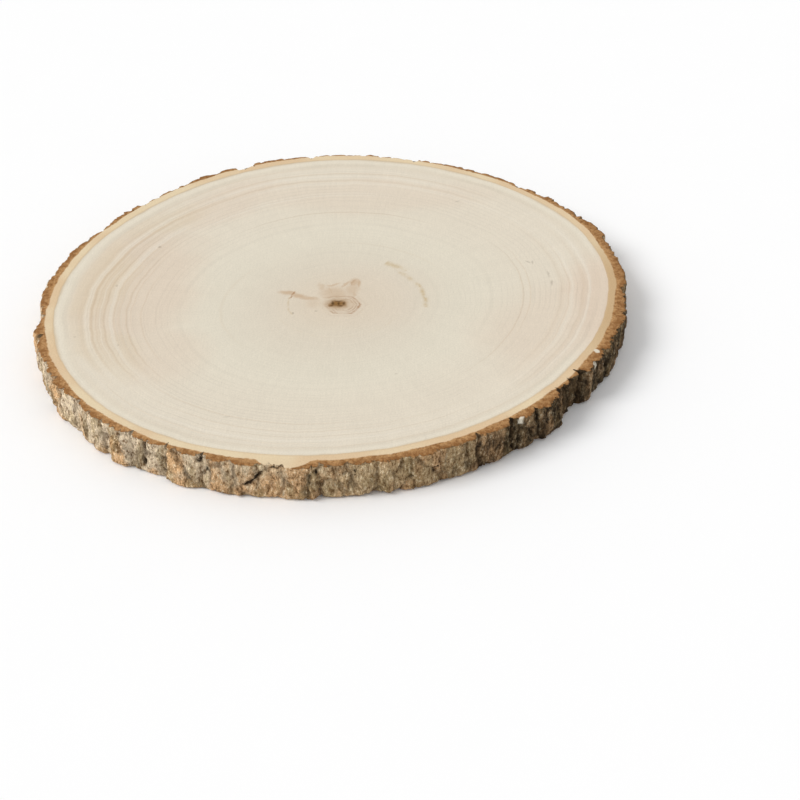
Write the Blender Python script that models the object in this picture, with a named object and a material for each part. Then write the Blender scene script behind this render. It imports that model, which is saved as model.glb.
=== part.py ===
"""A wood slice: a disc sawn straight across a log, with its bark left on all round.

Wood and bark grew as one, so the slice is one closed solid. Its two sawn faces are flat and
parallel. Its rim follows the slightly oval section of the trunk and carries the plates and
fissures of the bark. The origin is at the centre of the underside, with +Z up through the slice.
"""

import math

import bmesh
import bpy
from mathutils import Vector

# Driving dimensions, in metres unless a name says degrees.
MM = 0.001
THICKNESS = 20.0 * MM  # between the two sawn faces
MEAN_RADIUS = 159.4 * MM  # over the bark, averaged round the rim

# The trunk wasn't quite round. Each wave is (lobes, height in mm, degrees where a lobe peaks).
OUTLINE_WAVES = (
    (1, 2.2, -45),
    (2, 4.8, 50),
    (3, 1.0, -10),
    (4, 0.7, 15),
    (5, 0.5, 20),
)

# Fissures that run down the rim from face to face: (degrees round the rim, depth in mm).
FISSURES = (
    (-176, 1.2), (-168, 3.5), (-162, 3.0), (-154, 1.5), (-147, 3.5), (-138, 3.0), (-129, 3.5),
    (-122, 4.0), (-117, 3.5), (-110, 4.8), (-104, 1.5), (-98, 5.0), (-90, 4.8), (-85, 2.0),
    (-80, 4.0), (-74, 1.5), (-69, 4.0), (-62, 4.8), (-54, 4.0), (-48, 3.0), (-41, 4.5),
    (-33, 4.5), (-24, 4.8), (-17, 1.5), (-10, 4.0), (-1, 4.0), (12, 4.5), (18, 3.5),
    (28, 4.0), (35, 4.0), (47, 3.5), (55, 1.2), (62, 3.2), (73, 4.8), (82, 4.5),
    (97, 4.2), (108, 3.2), (120, 3.5), (128, 2.5), (136, 4.0), (145, 4.5), (156, 4.0),
    (168, 3.2), (175, 1.5),
)
FISSURE_HALF_WIDTH = 3.2 * MM
FISSURE_SHARPNESS = 1.6  # above 1, a fissure is narrow at its foot and opens at the rim
FISSURE_LEAN = 1.6 * MM  # most sideways drift of a fissure, from face to face

# The bark plates between the fissures.
PLATE_PROUD = 0.9 * MM  # how far one plate stands above or below its neighbours
LOST_BARK_START = -41  # degrees; from this fissure to the next the outer bark has come away
LOST_BARK_DEPTH = 4.0 * MM
BELLY = 0.5 * MM  # how far a plate swells at mid-height
WORN_EDGE = 0.5 * MM  # how far the rim draws in where the saw crossed the bark
GOLDEN_ANGLE = 2.4  # radians; stepping by it spreads the plates' differences evenly

# The mesh: one column of points for each degree, on rows that crowd at the two faces.
COLUMNS = 360
ROW_HEIGHTS = (0.0, 0.05, 0.28, 0.5, 0.72, 0.95, 1.0)

SHARP_EDGE = 40  # degrees; faces that meet at more than this keep a crisp edge

# The finish, as linear colour.
WOOD_COLOUR = (0.74, 0.62, 0.47, 1.0)
WOOD_ROUGHNESS = 0.75


def outline_radius(angle: float) -> float:
    """The trunk's smooth radius over the bark at an angle in radians."""
    waves = sum(
        height * math.cos(lobes * (angle - math.radians(peak)))
        for lobes, height, peak in OUTLINE_WAVES
    )
    return MEAN_RADIUS + waves * MM


def arc_between(first: float, second: float) -> float:
    """The signed angle from first to second, by the shorter way, in radians."""
    return (second - first + math.pi) % math.tau - math.pi


def fissure_angle(index: int, height: float) -> float:
    """Where a fissure stands at a height from 0 to 1, as it leans to one side."""
    lean = FISSURE_LEAN / MEAN_RADIUS * math.sin(GOLDEN_ANGLE * index)
    return math.radians(FISSURES[index][0]) + lean * (height - 1.0)


def plate_offset(index: int) -> float:
    """How far the plate after a fissure stands out from the smooth outline."""
    if FISSURES[index][0] == LOST_BARK_START:
        return -LOST_BARK_DEPTH
    return PLATE_PROUD * math.sin(GOLDEN_ANGLE * index + 1.0)


def bark_relief(angle: float, height: float) -> float:
    """The bark's depth in or out at an angle in radians and a height from 0 to 1."""
    indices = range(len(FISSURES))
    arcs = [arc_between(fissure_angle(index, height), angle) for index in indices]
    before = min(indices, key=lambda index: arcs[index] % math.tau)
    nearest = min(indices, key=lambda index: abs(arcs[index]))
    reach = abs(arcs[nearest]) * MEAN_RADIUS / FISSURE_HALF_WIDTH
    openness = max(0.0, 1.0 - reach) ** FISSURE_SHARPNESS
    groove = FISSURES[nearest][1] * MM * openness
    belly = BELLY * math.sin(math.pi * height)
    return plate_offset(before) * (1.0 - openness) + belly - groove


def rim_radius(angle: float, height: float) -> float:
    """The finished radius of the rim at an angle in radians and a height from 0 to 1."""
    worn = WORN_EDGE if height in (0.0, 1.0) else 0.0
    return outline_radius(angle) + bark_relief(angle, height) - worn


def clear_scene() -> None:
    """Removes every object that is already in the scene."""
    for obj in list(bpy.data.objects):
        bpy.data.objects.remove(obj, do_unlink=True)


def disc_blank(mesh: bmesh.types.BMesh) -> None:
    """Makes a plain closed disc whose wall has one row of points for each row height."""
    bmesh.ops.create_cone(
        mesh,
        cap_ends=True,
        segments=COLUMNS,
        radius1=MEAN_RADIUS,
        radius2=MEAN_RADIUS,
        depth=THICKNESS,
    )
    uprights = [
        edge
        for edge in mesh.edges
        if abs(edge.verts[0].co.z - edge.verts[1].co.z) > THICKNESS / 2
    ]
    bmesh.ops.subdivide_edges(mesh, edges=uprights, cuts=len(ROW_HEIGHTS) - 2)


def shape_rim(mesh: bmesh.types.BMesh) -> None:
    """Moves each point of the wall to its row's height and to the bark's radius."""
    last_row = len(ROW_HEIGHTS) - 1
    for vertex in mesh.verts:
        row = round((vertex.co.z / THICKNESS + 0.5) * last_row)
        height = ROW_HEIGHTS[row]
        angle = math.atan2(vertex.co.y, vertex.co.x)
        radius = rim_radius(angle, height)
        vertex.co = Vector(
            (radius * math.cos(angle), radius * math.sin(angle), height * THICKNESS)
        )


def centre_on_origin(mesh: bmesh.types.BMesh) -> None:
    """Slides the slice so that the middle of its bounding box stands over the origin."""
    across = [vertex.co.x for vertex in mesh.verts]
    along = [vertex.co.y for vertex in mesh.verts]
    middle = Vector(((min(across) + max(across)) / 2, (min(along) + max(along)) / 2, 0.0))
    bmesh.ops.translate(mesh, verts=mesh.verts, vec=-middle)


def wood_material() -> bpy.types.Material:
    """Pale sawn wood, matt."""
    material = bpy.data.materials.new("sawn_wood")
    material.use_nodes = True
    shader = material.node_tree.nodes["Principled BSDF"]
    shader.inputs["Base Color"].default_value = WOOD_COLOUR
    shader.inputs["Roughness"].default_value = WOOD_ROUGHNESS
    shader.inputs["Metallic"].default_value = 0.0
    return material


def build_wood_slice(collection: bpy.types.Collection) -> bpy.types.Object:
    """Builds the slice as one object with its own material."""
    shape = bmesh.new()
    disc_blank(shape)
    shape_rim(shape)
    centre_on_origin(shape)
    bmesh.ops.recalc_face_normals(shape, faces=shape.faces)
    mesh = bpy.data.meshes.new("wood_slice")
    shape.to_mesh(mesh)
    shape.free()
    mesh.shade_smooth()
    mesh.set_sharp_from_angle(angle=math.radians(SHARP_EDGE))
    mesh.materials.append(wood_material())
    wood_slice = bpy.data.objects.new("wood_slice", mesh)
    collection.objects.link(wood_slice)
    return wood_slice


def main() -> None:
    """Clears the scene and builds the slice in a collection of its own."""
    clear_scene()
    collection = bpy.data.collections.new("Wood slice")
    bpy.context.scene.collection.children.link(collection)
    build_wood_slice(collection)


main()
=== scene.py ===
"""The looks of a bark-on wood slice, sawn straight across a log and sanded.

Two pieces stand for the slice: the sawn wood, from the pith out to the cambium, and the ring of
bark round it. Both follow the same trunk outline, so they meet all round without a gap.
"""

import logging
import math
import random
from dataclasses import dataclass, field
from enum import Enum
from functools import reduce
from typing import Union

import bpy
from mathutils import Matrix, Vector


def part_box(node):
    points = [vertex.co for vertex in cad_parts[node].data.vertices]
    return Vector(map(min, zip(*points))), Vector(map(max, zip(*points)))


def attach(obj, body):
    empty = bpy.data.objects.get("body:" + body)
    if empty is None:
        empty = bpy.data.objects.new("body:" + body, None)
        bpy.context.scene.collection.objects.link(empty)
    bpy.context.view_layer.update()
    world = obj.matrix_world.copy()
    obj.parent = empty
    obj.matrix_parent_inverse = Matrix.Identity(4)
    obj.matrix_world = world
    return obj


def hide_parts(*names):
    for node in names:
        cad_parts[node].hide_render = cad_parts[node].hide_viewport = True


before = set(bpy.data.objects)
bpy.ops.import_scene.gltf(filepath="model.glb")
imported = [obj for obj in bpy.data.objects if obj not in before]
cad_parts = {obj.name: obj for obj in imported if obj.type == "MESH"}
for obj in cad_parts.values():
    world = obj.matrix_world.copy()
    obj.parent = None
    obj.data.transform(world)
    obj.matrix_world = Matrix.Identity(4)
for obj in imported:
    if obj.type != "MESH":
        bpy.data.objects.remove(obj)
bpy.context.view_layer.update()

LOG = logging.getLogger("wood_slice")
MM = 0.001
CAD_NODE = "wood_slice"
BODY = "root"

Colour = tuple[float, float, float, float]
Input = Union["Field", bpy.types.NodeSocket, float, int, str, tuple, bpy.types.ID]


class Slot(Enum):
    """The record's material slots that the pieces take their finish from."""

    WOOD = "sawn_wood"
    BARK = "bark"


class Mark(Enum):
    """The named values that the shapes leave on their points for the finishes to read."""

    RING = "ring"
    INWARD = "inward"
    MARGIN = "margin"
    RELIEF = "relief"
    CRACK = "crack"
    SAWN = "sawn"
    DEPTH = "depth"
    OPENNESS = "openness"
    VALLEY = "valley"
    PLATE = "plate"
    BORDER = "border"


def colour(red: int, green: int, blue: int) -> Colour:
    """Turns a screen colour into the linear colour that a shader takes.

    Args:
        red: Red from 0 to 255.
        green: Green from 0 to 255.
        blue: Blue from 0 to 255.

    Returns:
        The linear colour, opaque.
    """

    def linear(byte: int) -> float:
        """Undoes the screen's curve for one channel."""
        share = byte / 255
        return share / 12.92 if share <= 0.04045 else ((share + 0.055) / 1.055) ** 2.4

    return (linear(red), linear(green), linear(blue), 1.0)


# ---- Node trees ----


@dataclass(frozen=True)
class Grain:
    """A soft noise: the size of its blotches, its seed, its finer layers and how strong each of them is."""

    size: float
    seed: float
    detail: float = 2.0
    roughness: float = 0.5


@dataclass(frozen=True)
class Drift:
    """A way of moving places about: in blotches of a size, by up to reach each way."""

    size: float
    reach: float
    seed: float


@dataclass(frozen=True)
class Field:
    """A number that varies over a surface, with arithmetic that adds nodes to its tree."""

    graph: "Graph"
    socket: bpy.types.NodeSocket

    def __add__(self, other: Input) -> "Field":
        """Returns this plus other."""
        return self.graph.math("ADD", self, other)

    __radd__ = __add__

    def __sub__(self, other: Input) -> "Field":
        """Returns this minus other."""
        return self.graph.math("SUBTRACT", self, other)

    def __rsub__(self, other: Input) -> "Field":
        """Returns other minus this."""
        return self.graph.math("SUBTRACT", other, self)

    def __mul__(self, other: Input) -> "Field":
        """Returns this times other."""
        return self.graph.math("MULTIPLY", self, other)

    __rmul__ = __mul__

    def __truediv__(self, other: Input) -> "Field":
        """Returns this over other."""
        return self.graph.math("DIVIDE", self, other)

    def __pow__(self, power: float) -> "Field":
        """Returns this to a power."""
        return self.graph.math("POWER", self, power)

    def magnitude(self) -> "Field":
        """Returns the value without its sign."""
        return self.graph.math("ABSOLUTE", self)

    def at_least(self, other: Input) -> "Field":
        """Returns the larger of this and other."""
        return self.graph.math("MAXIMUM", self, other)

    def at_most(self, other: Input) -> "Field":
        """Returns the smaller of this and other."""
        return self.graph.math("MINIMUM", self, other)

    def share(self, low: Input, high: Input) -> "Field":
        """Returns how far this is from low to high, in a straight line from 0 to 1."""
        return self.graph.remap(self, low, high, 0.0, 1.0, "LINEAR")

    def step(self, low: Input, high: Input, to_low: float = 0.0, to_high: float = 1.0) -> "Field":
        """Returns a soft step from to_low to to_high as this goes from low to high."""
        return self.graph.remap(self, low, high, to_low, to_high, "SMOOTHSTEP")

    def bell(self, width: Input) -> "Field":
        """Returns a bell that is 1 where this is 0, and falls away over width."""
        return self.graph.math("EXPONENT", (self / width) ** 2.0 * -1.0)


class Graph:
    """A node tree, with short calls that add nodes to it."""

    def __init__(self, tree: bpy.types.NodeTree) -> None:
        """Keeps the tree that the calls add to."""
        self.tree = tree

    def node(
        self, kind: str, inputs: dict[str | int, Input] | None = None, **settings: object
    ) -> bpy.types.Node:
        """Adds one node.

        Args:
            kind: The node's type name.
            inputs: What each input takes, by the socket's name or place.
            **settings: The node's own options.

        Returns:
            The new node.
        """
        made = self.tree.nodes.new(kind)
        for name, value in settings.items():
            setattr(made, name, value)
        for key, value in (inputs or {}).items():
            self.feed(made.inputs[key], value)
        return made

    def feed(self, socket: bpy.types.NodeSocket, value: Input) -> None:
        """Links a field to a socket, or sets the socket to a plain value.

        Args:
            socket: The socket.
            value: What it takes.
        """
        if isinstance(value, Field):
            value = value.socket
        if isinstance(value, bpy.types.NodeSocket):
            self.tree.links.new(value, socket)
        else:
            socket.default_value = value

    def math(self, operation: str, first: Input, second: Input = 0.0) -> Field:
        """Adds a math node on one or two values."""
        made = self.node("ShaderNodeMath", {0: first, 1: second}, operation=operation)
        return Field(self, made.outputs[0])

    def remap(
        self, value: Field, low: Input, high: Input, to_low: Input, to_high: Input, how: str
    ) -> Field:
        """Maps a value from one range to another, held at both ends.

        Args:
            value: The value to map.
            low: Where the old range starts.
            high: Where the old range ends.
            to_low: Where the new range starts.
            to_high: Where the new range ends.
            how: LINEAR or SMOOTHSTEP.

        Returns:
            The mapped value.
        """
        inputs = {0: value, 1: low, 2: high, 3: to_low, 4: to_high}
        made = self.node("ShaderNodeMapRange", inputs, interpolation_type=how, clamp=True)
        return Field(self, made.outputs[0])

    def vector(self, x: Input = 0.0, y: Input = 0.0, z: Input = 0.0) -> bpy.types.NodeSocket:
        """Joins three values into a vector."""
        return self.node("ShaderNodeCombineXYZ", {0: x, 1: y, 2: z}).outputs[0]

    def parts(self, vector: Input) -> tuple[Field, Field, Field]:
        """Splits a vector into its three values."""
        made = self.node("ShaderNodeSeparateXYZ", {0: vector})
        return tuple(Field(self, socket) for socket in made.outputs)

    def combine(self, operation: str, first: Input, second: Input) -> bpy.types.NodeSocket:
        """Adds a vector math node whose result is a vector."""
        made = self.node("ShaderNodeVectorMath", {0: first, 1: second}, operation=operation)
        return made.outputs[0]

    def length(self, vector: Input) -> Field:
        """Returns a vector's length."""
        made = self.node("ShaderNodeVectorMath", {0: vector}, operation="LENGTH")
        return Field(self, made.outputs[1])

    def stretched(self, vector: Input, upright: float) -> bpy.types.NodeSocket:
        """Scales a vector's height, so that a pattern read from it runs taller, or right through at 0."""
        return self.combine("MULTIPLY", vector, (1.0, 1.0, upright))

    def strongest(self, shares: list[Field]) -> Field:
        """Returns the largest of several values."""
        return reduce(Field.at_least, shares)

    def noise(self, vector: Input, grain: Grain) -> Field:
        """Adds soft noise.

        Args:
            vector: Where to read it.
            grain: The noise, with its size in the vector's units.

        Returns:
            A value that hovers round a half.
        """
        inputs = {
            "Vector": vector,
            "W": grain.seed,
            "Scale": 1.0 / grain.size,
            "Detail": grain.detail,
            "Roughness": grain.roughness,
        }
        made = self.node("ShaderNodeTexNoise", inputs, noise_dimensions="4D")
        return Field(self, made.outputs["Fac"])

    def swing(self, vector: Input, grain: Grain, height: Input = 1.0) -> Field:
        """Returns noise that hovers round nothing, times a height."""
        return (self.noise(vector, grain) - 0.5) * height

    def drift(self, vector: Input, drifts: tuple[Drift, ...]) -> bpy.types.NodeSocket:
        """Moves a vector about, so that edges read from it run unevenly.

        Args:
            vector: The vector to move.
            drifts: The moves, one after another.

        Returns:
            The moved vector.
        """
        for drift in drifts:
            inputs = {"Vector": vector, "W": drift.seed, "Scale": 1.0 / drift.size, "Detail": 2.0}
            made = self.node("ShaderNodeTexNoise", inputs, noise_dimensions="4D")
            centred = self.combine("SUBTRACT", made.outputs["Color"], (0.5, 0.5, 0.5))
            scaled = self.combine("MULTIPLY", centred, (2 * drift.reach,) * 3)
            vector = self.combine("ADD", vector, scaled)
        return vector

    def plates(self, vector: Input, size: float) -> tuple[Field, Field]:
        """Splits space into scattered plates.

        Args:
            vector: Where to read them.
            size: How big the plates are, in the vector's units.

        Returns:
            A random value for each plate, and the distance to the plate's border in plate sizes.
        """
        inputs = {"Vector": vector, "Scale": 1.0 / size}
        whole = self.node("ShaderNodeTexVoronoi", inputs, feature="F1")
        borders = self.node("ShaderNodeTexVoronoi", inputs, feature="DISTANCE_TO_EDGE")
        tone, _, _ = self.parts(whole.outputs["Color"])
        return tone, Field(self, borders.outputs["Distance"])


class ShapeTree(Graph):
    """A geometry tree that grows one piece from named sizes."""

    crisp_angle: float = 58.0

    def __init__(self, name: str, guide: bpy.types.Mesh) -> None:
        """Starts a tree.

        Args:
            name: The piece's name.
            guide: The mesh that the tree is given to work from.
        """
        super().__init__(bpy.data.node_groups.new(name + "_shape", "GeometryNodeTree"))
        self.name = name
        self.guide = guide
        self.sizes: dict[str, float | int] = {}
        self.tree.interface.new_socket("Guide", in_out="INPUT", socket_type="NodeSocketGeometry")
        self.tree.interface.new_socket("Piece", in_out="OUTPUT", socket_type="NodeSocketGeometry")
        self.entry = self.tree.nodes.new("NodeGroupInput")
        self.exit = self.tree.nodes.new("NodeGroupOutput")

    def size(self, name: str, value: float | int) -> Field:
        """Adds a named size that the tree works from.

        Args:
            name: The size's name.
            value: The size.

        Returns:
            The size as a field.
        """
        kind = "NodeSocketInt" if isinstance(value, int) else "NodeSocketFloat"
        socket = self.tree.interface.new_socket(name, in_out="INPUT", socket_type=kind)
        self.sizes[socket.identifier] = value
        return Field(self, self.entry.outputs[name])

    def grid(self, columns: Field, rows: Field) -> tuple[bpy.types.NodeSocket, Field, Field]:
        """Adds a unit grid of points.

        Args:
            columns: How many steps it has round the slice.
            rows: How many steps it has along the section.

        Returns:
            The grid, each point's angle in radians, and each point's row.
        """
        inputs = {"Size X": 1.0, "Size Y": 1.0, "Vertices X": columns + 1.0, "Vertices Y": rows + 1.0}
        made = self.node("GeometryNodeMeshGrid", inputs)
        x, y, _ = self.parts(self.node("GeometryNodeInputPosition").outputs[0])
        return made.outputs["Mesh"], (x + 0.5) * math.tau, (y + 0.5) * rows

    def store(
        self, geometry: Input, mark: Mark, value: Field, domain: str = "POINT"
    ) -> bpy.types.NodeSocket:
        """Leaves a value on the geometry under a name.

        Args:
            geometry: What to leave it on.
            mark: The value's name.
            value: The value.
            domain: POINT, EDGE or FACE.

        Returns:
            The geometry with the value on it.
        """
        inputs = {"Geometry": geometry, "Name": mark.value, "Value": value}
        made = self.node("GeometryNodeStoreNamedAttribute", inputs, domain=domain, data_type="FLOAT")
        return made.outputs[0]

    def nearest(self, place: Input, *marks: Mark) -> tuple[Field, ...]:
        """Measures from a place to the guide lines.

        Args:
            place: Where to measure from.
            *marks: Values on the guide's points.

        Returns:
            The distance to the nearest guide line, and then each value at its nearest point.
        """
        guide = self.entry.outputs["Guide"]
        reach = self.node(
            "GeometryNodeProximity", {0: guide, "Sample Position": place}, target_element="EDGES"
        )
        found = self.node("GeometryNodeSampleNearest", {0: guide, "Sample Position": place})
        fields = [Field(self, reach.outputs["Distance"])]
        for mark in marks:
            named = self.node("GeometryNodeInputNamedAttribute", {"Name": mark.value}, data_type="FLOAT")
            inputs = {0: guide, "Value": named.outputs[0], "Index": found.outputs[0]}
            fields.append(Field(self, self.node("GeometryNodeSampleIndex", inputs).outputs[0]))
        return tuple(fields)

    def finish(
        self, geometry: Input, position: Input, merge: float, material: bpy.types.Material
    ) -> bpy.types.Object:
        """Moves the points into place, closes the seams and makes the piece a plain mesh.

        Args:
            geometry: The grid with its values on it.
            position: Where each point goes.
            merge: Points closer than this become one.
            material: The piece's finish.

        Returns:
            The finished piece, a plain mesh at the origin.
        """
        placed = self.node("GeometryNodeSetPosition", {"Geometry": geometry, "Position": position})
        merged = self.node("GeometryNodeMergeByDistance", {0: placed.outputs[0], "Distance": merge})
        smooth = self.node("GeometryNodeSetShadeSmooth", {0: merged.outputs[0]})
        real = self.node("GeometryNodeRealizeInstances", {0: smooth.outputs[0]})
        dressed = self.node("GeometryNodeSetMaterial", {0: real.outputs[0], "Material": material})
        self.feed(self.exit.inputs[0], dressed.outputs[0])

        seedling = bpy.data.objects.new(self.name + "_guide", self.guide)
        bpy.context.scene.collection.objects.link(seedling)
        modifier = seedling.modifiers.new(self.name, "NODES")
        modifier.node_group = self.tree
        for identifier, value in self.sizes.items():
            modifier[identifier] = value
        evaluated = seedling.evaluated_get(bpy.context.evaluated_depsgraph_get())
        mesh = bpy.data.meshes.new_from_object(evaluated)
        mesh.name = self.name
        mesh.set_sharp_from_angle(angle=math.radians(self.crisp_angle))
        seedling.modifiers.remove(modifier)
        bpy.data.objects.remove(seedling, do_unlink=True)
        piece = bpy.data.objects.new(self.name, mesh)
        bpy.context.scene.collection.objects.link(piece)
        return piece


class Finish(Graph):
    """A material's node tree, with its shader at hand."""

    def __init__(self, name: str) -> None:
        """Starts a material.

        Args:
            name: The material's name.
        """
        self.material = bpy.data.materials.new(name)
        self.material.use_nodes = True
        super().__init__(self.material.node_tree)
        self.shader = self.tree.nodes["Principled BSDF"]
        self.place = self.node("ShaderNodeTexCoord").outputs["Object"]

    def mark(self, mark: Mark) -> Field:
        """Returns a value that the piece's shape left on its points."""
        made = self.node("ShaderNodeAttribute", attribute_name=mark.value)
        return Field(self, made.outputs["Fac"])

    def blend(self, share: Input, first: Input, second: Input) -> bpy.types.NodeSocket:
        """Lays the second colour over the first as far as share says."""
        inputs = {0: share, 6: first, 7: second}
        return self.node("ShaderNodeMix", inputs, data_type="RGBA").outputs[2]

    def ramp(self, value: Field, stops: tuple[tuple[float, Colour], ...]) -> bpy.types.NodeSocket:
        """Looks a value up in a run of colours.

        Args:
            value: The value, from 0 to 1.
            stops: Each colour with the value it stands at, in order.

        Returns:
            The colour at that value.
        """
        made = self.node("ShaderNodeValToRGB", {0: value})
        elements = made.color_ramp.elements
        elements[0].position, elements[0].color = stops[0]
        elements[1].position, elements[1].color = stops[-1]
        for position, shade in stops[1:-1]:
            elements.new(position).color = shade
        return made.outputs[0]

    def scaled(self, shade: Input, factor: Field) -> bpy.types.NodeSocket:
        """Makes a colour lighter or darker by a factor round 1."""
        grey = self.vector(factor, factor, factor)
        return self.combine("MULTIPLY", shade, grey)

    def ovals(self, place: Input, ovals: tuple["Fleck", ...], soft: float) -> Field:
        """Returns how strongly a set of ovals shows.

        Args:
            place: Where to read them.
            ovals: The ovals.
            soft: How much of each one's half size its fading edge takes.

        Returns:
            The strength, from 0 to 1.
        """
        shares = []
        for oval in ovals:
            inputs = {
                "Vector": place,
                "Location": (oval.x * MM, oval.y * MM, 0.0),
                "Rotation": (0.0, 0.0, math.radians(oval.turn)),
                "Scale": (oval.long * MM, oval.wide * MM, 1.0),
            }
            local = self.node("ShaderNodeMapping", inputs, vector_type="TEXTURE").outputs[0]
            shares.append(self.length(local).step(1.0 - soft, 1.0 + soft * 0.2, oval.strength, 0.0))
        return self.strongest(shares)

    def dress(
        self, shade: Input, rough: Input, specular: float, height: Field, distance: float, strength: float
    ) -> bpy.types.Material:
        """Gives the shader its colour and surface.

        Args:
            shade: The colour.
            rough: The roughness.
            specular: How much it shines.
            height: The height of its finest grain.
            distance: How tall that grain is, in metres.
            strength: How strongly it shades.

        Returns:
            The finished material.
        """
        inputs = {"Height": height, "Distance": distance, "Strength": strength}
        self.feed(self.shader.inputs["Base Color"], shade)
        self.feed(self.shader.inputs["Roughness"], rough)
        self.feed(self.shader.inputs["Specular IOR Level"], specular)
        self.feed(self.shader.inputs["Normal"], self.node("ShaderNodeBump", inputs).outputs[0])
        return self.material


# ---- The trunk that the slice was cut from ----


@dataclass(frozen=True)
class Wave:
    """One way in which the trunk isn't round: lobes of a height, with one of them at peak degrees."""

    lobes: int
    height: float
    peak: float


@dataclass(frozen=True)
class Trunk:
    """The section of the trunk: its outline over the bark, its cambium and its pith."""

    low: Vector
    high: Vector
    mean_radius: float = 159.4 * MM
    bark_depth: float = 8.9 * MM
    pith: tuple[float, float] = (1.2 * MM, -17.8 * MM)
    waves: tuple[Wave, ...] = (
        Wave(1, 2.2 * MM, -45),
        Wave(2, 4.8 * MM, 50),
        Wave(3, 1.0 * MM, -10),
        Wave(4, 0.7 * MM, 15),
        Wave(5, 0.5 * MM, 20),
    )
    bark_waves: tuple[Wave, ...] = (Wave(1, 1.2 * MM, -55), Wave(2, 0.9 * MM, -5))
    kinks: Grain = Grain(16 * MM, 3, 3)
    kink_height: float = 2.0 * MM

    def radius(self, angle: float) -> float:
        """Returns the outline's radius at an angle in radians."""
        waves = (w.height * math.cos(w.lobes * (angle - math.radians(w.peak))) for w in self.waves)
        return self.mean_radius + sum(waves)

    def middle(self) -> tuple[float, float]:
        """Works out where the outline's own centre stands, so that its bounding box fits the frame's.

        Returns:
            The centre's place from side to side and from front to back.
        """
        angles = [math.radians(degree) for degree in range(360)]
        across = [self.radius(angle) * math.cos(angle) for angle in angles]
        along = [self.radius(angle) * math.sin(angle) for angle in angles]
        centre = (self.low + self.high) / 2
        return centre.x - (min(across) + max(across)) / 2, centre.y - (min(along) + max(along)) / 2

    def wavy(self, graph: Graph, angle: Field, base: float, waves: tuple[Wave, ...]) -> Field:
        """Adds waves to a value round the trunk.

        Args:
            graph: The tree to work in.
            angle: The angle round the trunk.
            base: The value without its waves.
            waves: The waves.

        Returns:
            The value at that angle.
        """
        total = angle * 0.0 + base
        for wave in waves:
            turned = (angle - math.radians(wave.peak)) * wave.lobes
            total = total + graph.math("COSINE", turned) * wave.height
        return total

    def outline(self, graph: Graph, angle: Field) -> Field:
        """Returns the outline's radius as a field."""
        return self.wavy(graph, angle, self.mean_radius, self.waves)

    def cambium(self, graph: Graph, angle: Field) -> Field:
        """Works out the radius at which the bark starts, with its kinks.

        Args:
            graph: The tree to work in.
            angle: The angle round the trunk.

        Returns:
            The radius at that angle.
        """
        bark = self.wavy(graph, angle, self.bark_depth, self.bark_waves)
        radius = self.outline(graph, angle) - bark
        way = graph.vector(graph.math("COSINE", angle), graph.math("SINE", angle))
        around = graph.combine("MULTIPLY", way, (self.mean_radius, self.mean_radius, 0.0))
        return radius + graph.swing(around, self.kinks, self.kink_height)

    def aside(self, graph: Graph, angle: Field, degrees: float) -> Field:
        """Returns how far an angle is from a direction, in radians, by the shorter way."""
        turn = angle - math.radians(degrees) + math.pi
        return graph.math("FLOORED_MODULO", turn, math.tau) - math.pi


# ---- The sawn wood ----


@dataclass(frozen=True)
class Fleck:
    """A mark on the wood or a flake on the bark: an oval that fades out at its edge.

    Places and half sizes are in millimetres and the turn is in degrees.
    """

    x: float
    y: float
    long: float
    wide: float
    turn: float
    strength: float


@dataclass(frozen=True)
class Arc:
    """A stained stretch of one growth ring, at a radius in millimetres between two angles in degrees."""

    radius: float
    start: float
    end: float
    width: float
    strength: float


@dataclass(frozen=True)
class GrowthLine:
    """A growth ring that stands out over part of its way round.

    It lies at a share of the way from pith to bark, and shows on both sides of a direction, in degrees.
    """

    ring: float
    width: float
    middle: float
    reach: float
    strength: float


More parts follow.
